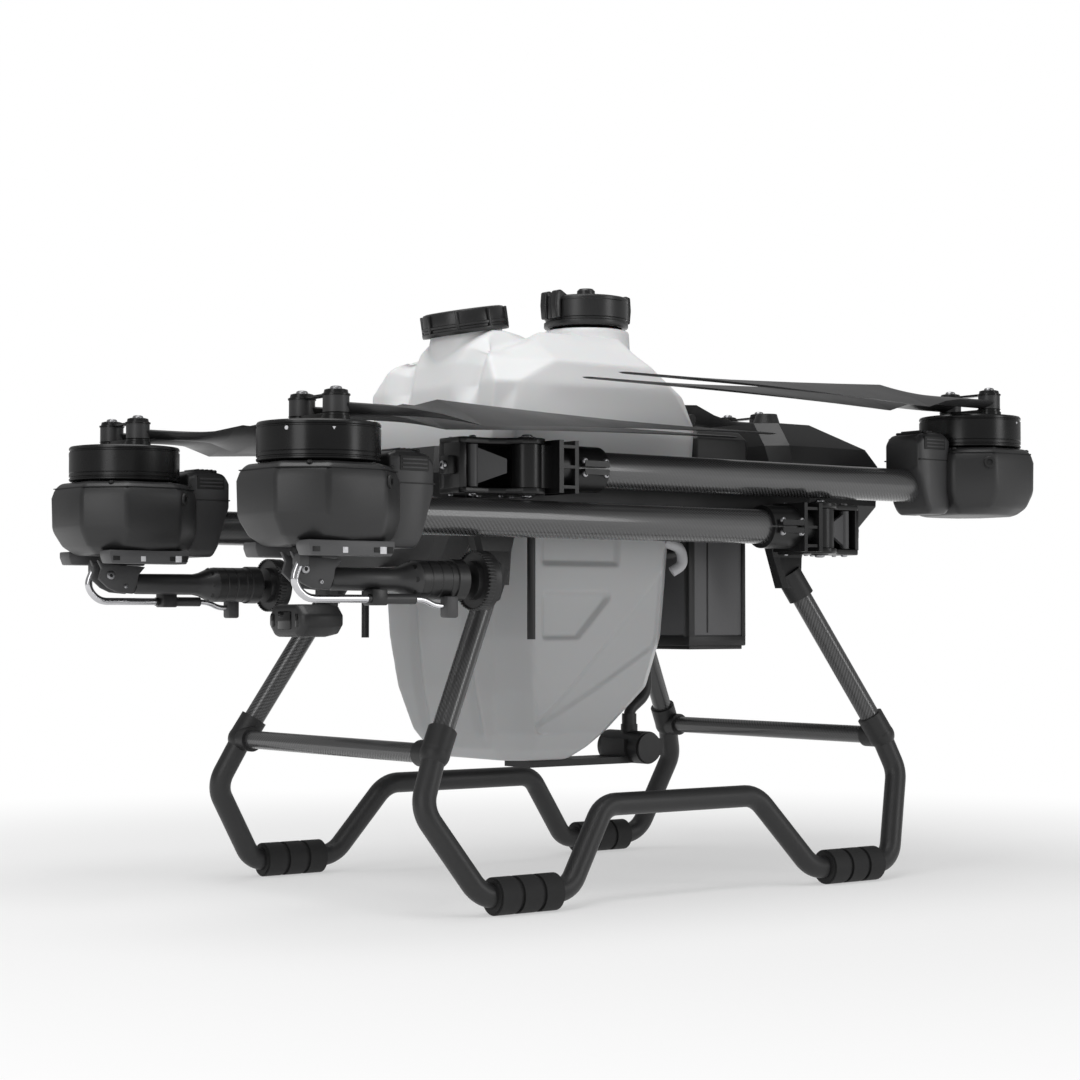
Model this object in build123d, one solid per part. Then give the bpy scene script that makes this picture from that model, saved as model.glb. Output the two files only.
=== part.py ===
from build123d import *
from math import cos, radians, sin, sqrt
import os

# Agricultural spray drone, folded for transport. Millimetres.
# X is the drone's left, the nose faces -Y, Z is up and the feet stand on z = 0.
# The arms hinged at the front fold back above the arms hinged at the rear.

# ---- driving dimensions ----
TUBE_R = 24.0             # arm tube
TUBE_WALL = 2.0
ARM_X = 251.5             # folded arm axis, from the centre plane
PIVOT_Y = 260.0           # fold pivots, fore and aft of the centre
REACH = 833.0             # fold pivot to motor axis
LOW_Z = 498.0             # tube axis of the arms hinged at the rear
HIGH_Z = 565.0            # tube axis of the arms hinged at the front

POD_IN, POD_OUT = 88.0, 88.0      # pod ends, from the motor axis
POD_HALF = 88.0
POD_LOW, POD_TOP = -42.0, 57.0      # from the tube axis
ESC_DEPTH = 58.0
ESC_HALF = 36.0
ESC_LOW, ESC_TOP = -35.0, 77.0

BELL_R = 75.0
BELL_H = 48.0
BELL_GAP = 2.0
SHAFT_R = 8.0
RUN = 0.05                # radial running clearance of pins and shafts
POST_X = 38.5             # blade posts, from the motor axis
BOSS_R = 17.0
BOSS_LOW, BOSS_TOP = 117.0, 137.0
BLADE_LEN = 700.0
BLADE_CHORD = 105.0
BLADE_PITCH = 22.0        # at the widest chord

FORK_HALF = 36.0          # hinge fork, half height
FORK_PLATE = 8.0
FORK_R = 24.0
FORK_BACK = 62.0          # pivot to the fork's mounting face
FORK_LEN = 80.0
PIN_R = 8.0
KNUCKLE_R = 20.0
FLANGE = 34.0
COLLAR_R = 30.0
LATCH_PIN_R = 3.0
LATCH_AT = (-22.0, 70.0)
LATCH_TIP = (-6.0, 28.0)

RAIL_IN, RAIL_OUT = 172.0, 189.5
RAIL_Y = 300.0
RAIL_LOW, RAIL_TOP = 480.0, 560.0

FOOT_Y = 287.0
FOOT_R = 24.0
SKID_R = 15.0
SKID_WALL = 2.5
JOIN_X, JOIN_Y, JOIN_Z = 239.0, 394.0, 201.0    # where leg, skid and crossbar meet
SKID_LEAN = 0.237         # outward run of the skids for each unit down
ARCH_Z = 127.0
LEG_R = 14.5
LEG_START = 14.0          # the leg tube starts this far above the joint
LEG_TOP = (187.0, 268.0, 424.0)
BAR_R = 12.5

TANK_WALL = 4.0
SEAT_Z = 560.5            # underside of the tank's rear shoulder
CAP_AT = (0.0, -176.0)
CAP_TILT = 10.0
LID_Y = 37.0
BATTERY_Y = (142.0, 250.0)
BATTERY_HALF = 105.0
NOZZLE_HINGE = (-860.0, -69.0)      # along the arm and down from the tube axis
PIPE_R = 5.0

os.makedirs("parts", exist_ok=True)


# ---- helpers ----
def save(name, *shapes):
    solids = [solid for shape in shapes for solid in shape.solids()]
    body = solids[0] if len(solids) == 1 else Compound(solids)
    export_step(body, f"parts/{name}.step")


def block(x0, x1, y0, y1, z0, z1):
    return Pos((x0 + x1) / 2, (y0 + y1) / 2, (z0 + z1) / 2) * Box(x1 - x0, y1 - y0, z1 - z0)


def rod(start, end, radius, bore=0.0):
    """A round bar or tube between two points."""
    a, b = Vector(start), Vector(end)
    plane = Plane(origin=a, z_dir=b - a)
    section = Circle(radius)
    if bore:
        section -= Circle(bore)
    return extrude(plane * section, (b - a).length)


def cut_corners(x0, x1, y0, y1, cut, z):
    """A rectangle with its four corners cut off, as a wire at height z."""
    points = [(x0 + cut, y0), (x1 - cut, y0), (x1, y0 + cut), (x1, y1 - cut),
              (x1 - cut, y1), (x0 + cut, y1), (x0, y1 - cut), (x0, y0 + cut)]
    return Wire.make_polygon([Vector(x, y, z) for x, y in points], close=True)


def stack(levels, inset=0.0):
    """A closed body through (z, x0, x1, y0, y1, corner) levels."""
    wires = [cut_corners(x0 + inset, x1 - inset, y0 + inset, y1 - inset, cut, z)
             for z, x0, x1, y0, y1, cut in levels]
    return Solid.make_loft(wires, True)


def bent_tube(points, radii, radius, bore=0.0, plane=Plane.XY):
    """A tube along straight runs joined by arcs."""
    path = plane * FilletPolyline(*points, radius=radii)
    start = Plane(origin=path @ 0, z_dir=path % 0)
    section = Circle(radius)
    if bore:
        section -= Circle(bore)
    return sweep(start * section, path=path)


def place(shape, side, end):
    """Moves a piece drawn at the fold pivot, arm along -Y, to its own corner."""
    level = HIGH_Z if end == "front" else LOW_Z
    shape = Pos(ARM_X, PIVOT_Y, level) * shape
    if end == "front":
        shape = shape.mirror(Plane.XZ)
    if side == "right":
        shape = shape.mirror(Plane.YZ)
    return shape


# ---- arm: everything that folds with the tube ----
def arm_tube():
    return rod((0, -40, 0), (0, -REACH + POD_IN - 20, 0), TUBE_R, TUBE_R - TUBE_WALL)


def arm_knuckle():
    """Pivot barrel, ribbed flange and split clamp on the tube's root."""
    half = FORK_HALF - FORK_PLATE - 0.5
    body = Cylinder(KNUCKLE_R, 2 * half)
    body += block(-16, 16, -30, 0, -half, half)
    body += block(-FLANGE, FLANGE, -34, -27, -FLANGE, FLANGE)
    body += rod((0, -34, 0), (0, -54, 0), TUBE_R + 3)
    for z in (-26, 0, 26):
        body += block(-FLANGE + 2, FLANGE - 2, -54, -34, z - 2, z + 2)
    body += block(-FLANGE + 2, FLANGE - 2, -60, -54, -FLANGE, FLANGE)
    body += rod((0, -60, 0), (0, -113, 0), COLLAR_R)
    body += block(24, 38, -106, -66, -9, 9)
    body -= rod((0, -40, 0), (0, -113, 0), TUBE_R)
    body -= block(20, 40, -114, -62, -1.5, 1.5)
    return body - Cylinder(PIN_R + RUN, 100)


def motor_pod(with_nozzle):
    """Hollow motor housing with the tube socket, shaft bearing and stator."""
    y0, y1 = -REACH - POD_OUT, -REACH + POD_IN
    full = POD_HALF
    levels = [(POD_LOW, -full + 24, full - 24, y0 + 26, y1 - 14, 26),
              (POD_LOW + 22, -full + 2, full - 2, y0 + 3, y1, 42),
              (POD_TOP - 20, -full, full, y0, y1, 42),
              (POD_TOP, -full + 9, full - 9, y0 + 9, y1 - 9, 38)]
    inner = [(z + d, x0 + 5, x1 - 5, a + 5, b - 5, cut)
             for d, (z, x0, x1, a, b, cut) in zip((5, 0, 0, -5), levels)]
    shell = stack(levels) - stack(inner)
    shell += rod((0, y1 - 1, 0), (0, y1 - 24, 0), TUBE_R + 5)
    shell += Pos(0, -REACH, 0) * block(-16, 16, -16, 16, 12, POD_TOP - 2)
    shell -= rod((0, y1, 0), (0, y1 - 20, 0), TUBE_R)
    shell -= Pos(0, -REACH, 30) * Cylinder(SHAFT_R + RUN, 80)
    stator = Pos(0, -REACH, (POD_TOP + 96) / 2) * (Cylinder(64, 96 - POD_TOP) - Cylinder(12, 60))
    pieces = [shell, stator]
    if with_nozzle:
        y, z = NOZZLE_HINGE
        lug = block(-7.5, 7.5, y - 10, y + 14, z, POD_LOW + 3) + rod((-7.5, y, z), (7.5, y, z), 10)
        pin = rod((-15, y, z), (15, y, z), 4)
        pieces = [shell + lug - pin, stator, pin]
    return pieces


def speed_controller():
    """Finned motor controller clamped on the tube beside the pod."""
    y0 = -REACH + POD_IN
    body = stack([(ESC_LOW, -ESC_HALF + 8, ESC_HALF - 8, y0, y0 + ESC_DEPTH - 10, 4),
                  (ESC_LOW + 14, -ESC_HALF, ESC_HALF, y0, y0 + ESC_DEPTH, 6),
                  (ESC_TOP, -ESC_HALF, ESC_HALF, y0, y0 + ESC_DEPTH - 8, 6)])
    for z in (50, 57, 64):
        body -= block(ESC_HALF - 2, ESC_HALF + 1, y0 + 6, y0 + ESC_DEPTH - 16, z, z + 3)
        body -= block(-ESC_HALF - 1, -ESC_HALF + 2, y0 + 6, y0 + ESC_DEPTH - 16, z, z + 3)
    return body - rod((0, y0 - 1, 0), (0, y0 + ESC_DEPTH + 1, 0), TUBE_R)


# ---- rotor: bell, hub and folding blades ----
def rotor():
    low = POD_TOP + BELL_GAP
    top = low + BELL_H
    bell = Pos(0, 0, (low + top) / 2) * Cylinder(BELL_R, BELL_H)
    bell -= Pos(0, 0, (low + top) / 2 - 7) * Cylinder(BELL_R - 5, BELL_H)
    bell += Pos(0, 0, (20 + top) / 2) * Cylinder(SHAFT_R, top - 20)
    hub = Pos(0, 0, (top + BOSS_LOW - 0.5) / 2) * Box(2 * POST_X, 30, BOSS_LOW - 0.5 - top)
    link = Pos(0, 0, BOSS_TOP + 2.5) * Box(2 * POST_X, 16, 4)
    for x in (-POST_X, POST_X):
        hub += Pos(x, 0, (top + BOSS_LOW - 0.5) / 2) * Cylinder(BOSS_R, BOSS_LOW - 0.5 - top)
        hub += Pos(x, 0, (top + 144) / 2) * Cylinder(6, 144 - top)
        link += Pos(x, 0, BOSS_TOP + 2.5) * Cylinder(14, 4)
        link += Pos(x, 0, 143) * Cylinder(7, 4)
    hub += link
    return [Pos(0, -REACH, 0) * bell, Pos(0, -REACH, 0) * hub]


def blade_chord(r):
    """Chord, pitch and thickness at distance r from the blade's pin."""
    if r < 180:
        t = (r - 60) / 120
        t = max(0.0, t) ** 1.2
        return 34 + (BLADE_CHORD - 34) * t, BLADE_PITCH * t, 13 - 3 * t
    t = (r - 180) / (BLADE_LEN - 180)
    chord = BLADE_CHORD - (BLADE_CHORD - 72) * t - 40 * t ** 4
    return chord, BLADE_PITCH * (1 - t) ** 1.3 + 6 * t, 9 - 6 * t


def blade(side):
    """One carbon blade with its pivot boss, lying back along the arm."""
    mid = (BOSS_LOW + BOSS_TOP) / 2
    x = side * POST_X
    wires = []
    for r in (8, 60, 90, 130, 180, 260, 360, 480, 600, 670, BLADE_LEN):
        chord, pitch, thick = blade_chord(r)
        lean = radians(pitch)
        plane = Plane(origin=(x, r - REACH, mid), x_dir=(cos(lean), 0, -sin(lean)), z_dir=(0, 1, 0))
        a, b = (-chord / 2, 0), (chord / 2, 0)
        outline = ThreePointArc(a, (0, thick * 0.75), b) + ThreePointArc(b, (0, -thick * 0.25), a)
        wires.append((plane * outline).wires()[0])
    body = Solid.make_loft(wires, True)
    body += Pos(x, -REACH, mid) * Cylinder(BOSS_R - 1, BOSS_TOP - BOSS_LOW)
    return body - Pos(x, -REACH, mid) * Cylinder(6 + RUN, 60)


# ---- fold hinge: fork, pins and latch ----
def fork():
    """C-shaped bracket that holds the pivot pin and bolts to a side rail."""
    outline = [(-FORK_BACK, -FORK_R), (0, -FORK_R), (20, -13), (-4, 30), (-14, 50),
               (-12, FORK_LEN), (-FORK_BACK, FORK_LEN)]
    face = Face(Wire.make_polygon([Vector(x, y, 0) for x, y in outline], close=True))
    plate = extrude(face, FORK_PLATE, dir=(0, 0, 1)) + Pos(0, 0, FORK_PLATE / 2) * Cylinder(
        FORK_R, FORK_PLATE)
    body = Pos(0, 0, FORK_HALF - FORK_PLATE) * plate + Pos(0, 0, -FORK_HALF) * plate
    body += block(-FORK_BACK, -FORK_BACK + 12, -FORK_R, FORK_LEN, -FORK_HALF, FORK_HALF)
    body -= Cylinder(PIN_R, 100)
    return body - Pos(LATCH_AT[0], LATCH_AT[1], 0) * Cylinder(LATCH_PIN_R, 100)


def pins():
    pivot = Cylinder(PIN_R, 2 * FORK_HALF)
    latch = Cylinder(LATCH_PIN_R, 2 * FORK_HALF)
    for z in (-FORK_HALF - 1, FORK_HALF + 1):
        pivot += Pos(0, 0, z) * Cylinder(13, 2)
        latch += Pos(0, 0, z) * Cylinder(5, 2)
    return [pivot, Pos(LATCH_AT[0], LATCH_AT[1], 0) * latch]


def latch():
    """Wing-shaped locking lever, tall at its pin and low at its nose."""
    dx, dy = LATCH_TIP[0] - LATCH_AT[0], LATCH_TIP[1] - LATCH_AT[1]
    length = sqrt(dx * dx + dy * dy)
    plane = Plane(origin=(LATCH_AT[0], LATCH_AT[1], 0), x_dir=(dx, dy, 0), z_dir=(-dy, dx, 0))
    points = [(0, -25), (length, -9), (length, 9), (0, 25)]
    wing = extrude(plane * Face(Wire.make_polygon([Vector(x, y, 0) for x, y in points], close=True)),
                   2.5, both=True)
    body = wing + Pos(LATCH_AT[0], LATCH_AT[1], 0) * Cylinder(7, 54)
    return body - Pos(LATCH_AT[0], LATCH_AT[1], 0) * Cylinder(LATCH_PIN_R + RUN, 60)


# ---- folding spray nozzle ----
AXIS_W = -80.0            # nozzle axis, from the tube axis
PIPE_X = 18.0


def nozzle_pipe():
    y, z = NOZZLE_HINGE
    points = [(y - 9, z + 10), (y - 19, z - 14), (y - 2, z - 35), (-672, z - 35), (-655, z - 40)]
    plane = Plane(origin=(PIPE_X, 0, 0), x_dir=(0, 1, 0), z_dir=(1, 0, 0))
    return bent_tube(points, [10, 14, 20], PIPE_R, 0, plane)


def nozzle():
    """Hinge cheeks, stem, motor housing and the clips for the feed pipe."""
    y, z = NOZZLE_HINGE
    outline = [(y - 6, z + 9), (y + 30, z + 12), (y + 68, z + 4), (y + 68, z - 26), (y + 20, z - 22),
               (y - 8, z - 8)]
    face = Face(Wire.make_polygon([Vector(8, a, b) for a, b in outline], close=True))
    cheek = extrude(face, 6, dir=(1, 0, 0)) + rod((8, y, z), (14, y, z), 11)
    body = cheek + cheek.mirror(Plane.YZ)
    body += rod((0, -812, AXIS_W), (0, -700, AXIS_W), 13.5)
    body += rod((0, -700, AXIS_W), (0, -640, AXIS_W), 22.5)
    body += rod((0, -640, AXIS_W), (0, -625, AXIS_W), 26)
    body -= rod((0, -645, AXIS_W), (0, -620, AXIS_W), 6 + RUN)
    body -= rod((-20, y, z), (20, y, z), 4 + RUN)
    clips = block(8, PIPE_X + 7, y - 14, y - 3, z + 5, z + 15)
    clips += block(0, PIPE_X + 7, -776, -766, z - 42, z - 8)
    clips += block(12, PIPE_X + 8, -662, -646, z - 46, z - 22)
    return body + clips - nozzle_pipe()


def spray_disc():
    disc = rod((0, -612, AXIS_W), (0, -604, AXIS_W), 24)
    disc += rod((0, -604, AXIS_W), (0, -586, AXIS_W), 37.5)
    disc -= rod((0, -598, AXIS_W), (0, -585, AXIS_W), 31)
    return disc + rod((0, -640, AXIS_W), (0, -590, AXIS_W), 6)


# ---- landing gear ----
SKID_POINTS = [(-JOIN_Y, JOIN_Z), (-425, 135), (-352, FOOT_R), (-215, FOOT_R), (-138, ARCH_Z),
               (130, ARCH_Z), (214, FOOT_R), (366, FOOT_R), (412, 150), (JOIN_Y, JOIN_Z)]
SKID_BENDS = [40, 40, 40, 40, 40, 40, 38, 40]


def skid_x(z):
    return JOIN_X + (JOIN_Z - z) * SKID_LEAN


def skid(bore):
    stretch = sqrt(1 + SKID_LEAN ** 2)
    plane = Plane(origin=(JOIN_X, 0, JOIN_Z), x_dir=(0, 1, 0), z_dir=(1, 0, SKID_LEAN))
    points = [(y, (z - JOIN_Z) * stretch) for y, z in SKID_POINTS]
    return bent_tube(points, SKID_BENDS, SKID_R, bore, plane)


def rubber_foot(y, tube):
    """Three rubber rings pressed on the skid tube."""
    x = skid_x(FOOT_R)
    body = rod((x, y - 50, FOOT_R), (x, y + 50, FOOT_R), FOOT_R - 3)
    for k in (-1, 0, 1):
        body += rod((x, y + 34 * k - 14, FOOT_R), (x, y + 34 * k + 14, FOOT_R), FOOT_R)
    return body - tube


def leg_line(sign):
    """Base point, top point and direction of a leg."""
    base = Vector(JOIN_X, sign * JOIN_Y, JOIN_Z)
    top = Vector(LEG_TOP[0], sign * LEG_TOP[1], LEG_TOP[2])
    return base, top, (top - base).normalized()


def leg(sign):
    base, top, up = leg_line(sign)
    return rod(base + up * LEG_START, top, LEG_R, LEG_R - 2)


def leg_joint(sign, tube):
    """Clamp where a leg, a skid and a crossbar meet."""
    base, top, up = leg_line(sign)
    body = rod(base - up * 4, base + up * 34, LEG_R + 4.5)
    body += rod(base, base - Vector(30, 0, 0), BAR_R + 4.5)
    body += Pos(base.X, base.Y, base.Z) * Sphere(LEG_R + 5)
    body -= rod(base + up * LEG_START, base + up * 60, LEG_R)
    body -= rod(base - Vector(24, 0, 0), base - Vector(60, 0, 0), BAR_R)
    return body - tube


def leg_socket(sign):
    """Wedge bracket that carries a leg under the side rail."""
    base, top, along = leg_line(sign)
    body = rod(top - along * 26, top + along * 14, LEG_R + 4.5)
    cap = stack([(RAIL_LOW - 66, 170, 198, sign * 262 - 18, sign * 262 + 18, 6),
                 (RAIL_LOW - 22, 164, RAIL_OUT, sign * 262 - 28, sign * 262 + 28, 6),
                 (RAIL_LOW, 162, RAIL_OUT, sign * 262 - 34, sign * 262 + 34, 6)])
    return body + cap - rod(base, top, LEG_R)


# ---- centre frame and covers ----
def cross_members():
    front = block(-RAIL_IN, RAIL_IN, -262, -244, 490, RAIL_TOP)
    middle = block(-RAIL_IN, RAIL_IN, 114, 138, 490, RAIL_TOP)
    rear = block(-RAIL_IN, RAIL_IN, 254, 280, 490, RAIL_TOP)
    guides = block(107, 113, 138, 254, 496, RAIL_TOP)
    return [front, middle + rear + guides + guides.mirror(Plane.YZ)]


def shell_box(levels, wall, openings):
    body = stack(levels)
    inner = [(z + d, x0 + wall, x1 - wall, y0 + wall, y1 - wall, cut)
             for d, (z, x0, x1, y0, y1, cut) in zip([wall] + [0] * (len(levels) - 2) + [-wall], levels)]
    body -= stack(inner)
    for box in openings:
        body -= block(*box)
    return body


def front_cover():
    levels = [(440, -120, 120, -316, -264, 10), (480, -160, 160, -330, -264, 14),
              (560, -160, 160, -334, -264, 14), (596, -146, 146, -322, -264, 12)]
    return shell_box(levels, 3, [(-130, 130, -270, -260, 470, 580)])


def rear_cover():
    levels = [(505, -128, 128, 282, 470, 12), (540, -148, 148, 282, 498, 20),
              (600, -148, 148, 282, 506, 24), (625, -140, 140, 282, 490, 26),
              (660, -112, 112, 286, 400, 26)]
    return shell_box(levels, 3, [(-120, 120, 278, 288, 520, 600)])


def camera():
    body = stack([(346, -40, 40, -470, -404, 8), (352, -46, 46, -470, -398, 10),
                  (383, -46, 46, -470, -398, 10), (389, -40, 40, -470, -404, 8)])
    body -= block(-20, 20, -471, -466, 354, 381)
    window = block(-20, 20, -469, -466, 354, 381)
    arm = block(-14, 14, -412, -392, 384, 430) + block(-14, 14, -412, -300, 420, 438)
    return [body + arm, window]


# ---- tank and caps ----
def tank_levels():
    """Height, half width, front and rear limits and corner cut, bottom to top."""
    rows = [(176, 92, -165, -45, 28), (192, 120, -186, -27, 38), (215, 140, -198, -5, 42),
            (275, 156, -212, 52, 40), (345, 162, -221, 72, 38), (470, 164, -228, 82, 36),
            (SEAT_Z - 0.4, 164, -232, 84, 36), (SEAT_Z, 164, -233, 128, 36), (640, 160, -238, 132, 40),
            (690, 150, -228, 122, 46), (725, 130, -212, 98, 46), (750, 104, -196, 76, 40),
            (764, 78, -160, 66, 34)]
    return [(z, -half, half, front, rear, cut) for z, half, front, rear, cut in rows]


def cap_axis():
    """Base point and direction of the leaning filler neck."""
    lean = radians(CAP_TILT)
    return Vector(CAP_AT[0], CAP_AT[1], 764), Vector(0, -sin(lean), cos(lean))


def tank():
    levels = tank_levels()
    inner = [(z + d, x0, x1, y0, y1, cut)
             for d, (z, x0, x1, y0, y1, cut) in zip([4] + [0] * 11 + [-4], levels)]
    base, up = cap_axis()
    body = stack(levels)
    body += rod(base - up * 60, base + up * 14, 50)
    body += rod((0, LID_Y, 730), (0, LID_Y, 786), 62) + rod((0, LID_Y, 730), (0, LID_Y, 800), 52)
    body -= stack(inner, TANK_WALL)
    body -= rod(base - up * 70, base + up * 20, 44)
    body -= rod((0, LID_Y, 700), (0, LID_Y, 810), 46)
    return body


def screw_cap():
    base, up = cap_axis()
    body = rod(base + up * 2, base + up * 36, 58)
    for k in range(8):
        turn = Rot(0, 0, 45 * k) * Pos(58, 0, 0)
        grip = Plane(origin=base + up * 6, z_dir=up) * turn * Box(8, 12, 88)
        body += grip & rod(base + up * 6, base + up * 34, 63)
    return body - rod(base, base + up * 14.3, 50.3)


def tank_lid():
    """Main filler lid with two grip levers and a breather."""
    body = rod((0, LID_Y, 790), (0, LID_Y, 834), 61)
    for sign in (-1, 1):
        body += block(sign * 60 - 6, sign * 60 + 6, LID_Y - 16, LID_Y + 16, 800, 840)
    body += block(-56, 56, LID_Y - 10, LID_Y + 10, 834, 842)
    body += rod((0, LID_Y, 834), (0, LID_Y, 848), 13)
    return body - rod((0, LID_Y, 785), (0, LID_Y, 800.3), 52.3)


def pump():
    """Spray pump on its plate under the tank, outlet at its side."""
    plate = block(28, 84, -130, 46, 166, 175.5)
    body = rod((18, 66, 188), (104, 66, 188), 23)
    body += block(30, 82, 40, 66, 166, 200)
    body += rod((104, 66, 188), (108, 66, 188), 21)
    body += block(60, 96, 84, 100, 176, 200)
    body += rod((62, 66, 188), (62, 66, 220), 12)
    return plate + body


def hoses():
    """Suction hose from the tank's back to the pump, and the outlet elbow."""
    plane = Plane(origin=(62, 0, 0), x_dir=(0, 1, 0), z_dir=(1, 0, 0))
    suction = bent_tube([(72.5, 322), (98, 322), (98, 260), (66, 240), (66, 220)], [14, 26, 12], 8, 5.5,
                        plane)
    plane = Plane(origin=(118, 0, 0), x_dir=(0, 1, 0), z_dir=(1, 0, 0))
    outlet = bent_tube([(82.4, 462), (101, 462), (101, 548)], [10], 9, 6.5, plane)
    return [suction, outlet]


def battery():
    """Ribbed battery pack that hangs by its wider head in the frame."""
    y0, y1 = BATTERY_Y
    half = BATTERY_HALF
    body = block(-half, half, y0, y1, 340, 562)
    for y in (y0 + 34, y1 - 34):
        body -= block(half - 3, half + 1, y - 3, y + 3, 345, 500)
        body -= block(-half - 1, -half + 3, y - 3, y + 3, 345, 500)
    base = block(-half + 3, half - 3, y0 + 3, y1 - 3, 326, 340)
    head = stack([(RAIL_TOP + 0.5, -117, 117, y0 - 1, y1 + 1, 8), (630, -117, 117, y0 - 1, y1 + 1, 8),
                  (642, -108, 108, y0 + 6, y1 - 6, 8)])
    return body + base + head


def battery_handle():
    y = sum(BATTERY_Y) / 2
    grip = rod((-52, y, 664), (52, y, 664), 7)
    return grip + rod((-46, y, 642), (-46, y, 664), 7) + rod((46, y, 642), (46, y, 664), 7)


def antennas():
    """Cone aerial on the rear cover and a rod aerial under each side rail."""
    cone = Pos(0, 392, 660) * Cone(24, 16, 25, align=(Align.CENTER, Align.CENTER, Align.MIN))
    pieces = [cone]
    for sign in (-1, 1):
        holder = block(min(sign * 189.5, sign * 206), max(sign * 189.5, sign * 206), -222, -204, 484, 500)
        pieces.append(holder + rod((sign * 199, -213, 343), (sign * 199, -213, 486), 5.5))
    return pieces


# ---- write the nodes ----
skid_left = skid(SKID_R - SKID_WALL)
skid_core = skid(0)
leg_pair = [leg(-1), leg(1)]
joints_left = [leg_joint(sign, skid_core) for sign in (-1, 1)]
sockets_left = [leg_socket(sign) for sign in (-1, 1)]


def both(shapes):
    return list(shapes) + [shape.mirror(Plane.YZ) for shape in shapes]


save("skid_left", skid_left)
save("skid_right", skid_left.mirror(Plane.YZ))
save("upper_legs", *both(leg_pair))
save("leg_fittings", *both(joints_left + sockets_left))
save("rubber_feet", *both([rubber_foot(y, skid_core) for y in (-FOOT_Y, FOOT_Y)]))
save("crossbars", *[rod((-JOIN_X + 24, y, JOIN_Z), (JOIN_X - 24, y, JOIN_Z), BAR_R, BAR_R - 2)
                    for y in (-JOIN_Y, JOIN_Y)])
save("side_rails", *both([block(RAIL_IN, RAIL_OUT, -RAIL_Y, RAIL_Y, RAIL_LOW, RAIL_TOP)
                          - block(RAIL_IN + 3, RAIL_OUT - 3, -RAIL_Y - 1, RAIL_Y + 1,
                                  RAIL_LOW + 3, RAIL_TOP - 3)]))
save("cross_members", *cross_members())
save("front_cover", front_cover())
save("rear_cover", rear_cover())
save("flight_controller", block(-60, 60, 310, 400, 508, 548))
save("camera_pod", *camera())
save("antennas", *antennas())
save("tank", tank())
save("filler_cap", screw_cap())
save("tank_lid", tank_lid())
save("spray_pump", pump())
save("tank_hoses", *hoses())
save("battery", battery())
save("battery_handle", battery_handle())

forks = []
all_pins = []
for end in ("front", "rear"):
    for side in ("left", "right"):
        name = f"{end}_{side}"
        save(f"arm_tube_{name}", place(arm_tube(), side, end))
        save(f"arm_knuckle_{name}", place(arm_knuckle(), side, end))
        save(f"motor_pod_{name}", *[place(s, side, end) for s in motor_pod(end == "rear")])
        save(f"speed_controller_{name}", place(speed_controller(), side, end))
        save(f"rotor_{name}", *[place(s, side, end) for s in rotor()])
        save(f"blade_outer_{name}", place(blade(1), side, end))
        save(f"blade_inner_{name}", place(blade(-1), side, end))
        save(f"fold_latch_{name}", place(latch(), side, end))
        forks.append(place(fork(), side, end))
        all_pins += [place(pin, side, end) for pin in pins()]
save("hinge_forks", *forks)
save("hinge_pins", *all_pins)

for side in ("left", "right"):
    save(f"nozzle_{side}", place(nozzle(), side, "rear"))
    save(f"nozzle_pipe_{side}", place(nozzle_pipe(), side, "rear"))
    save(f"spray_disc_{side}", place(spray_disc(), side, "rear"))
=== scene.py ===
from math import cos, pi, radians, sin

import bmesh
import bpy
from mathutils import Matrix, Vector


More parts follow.
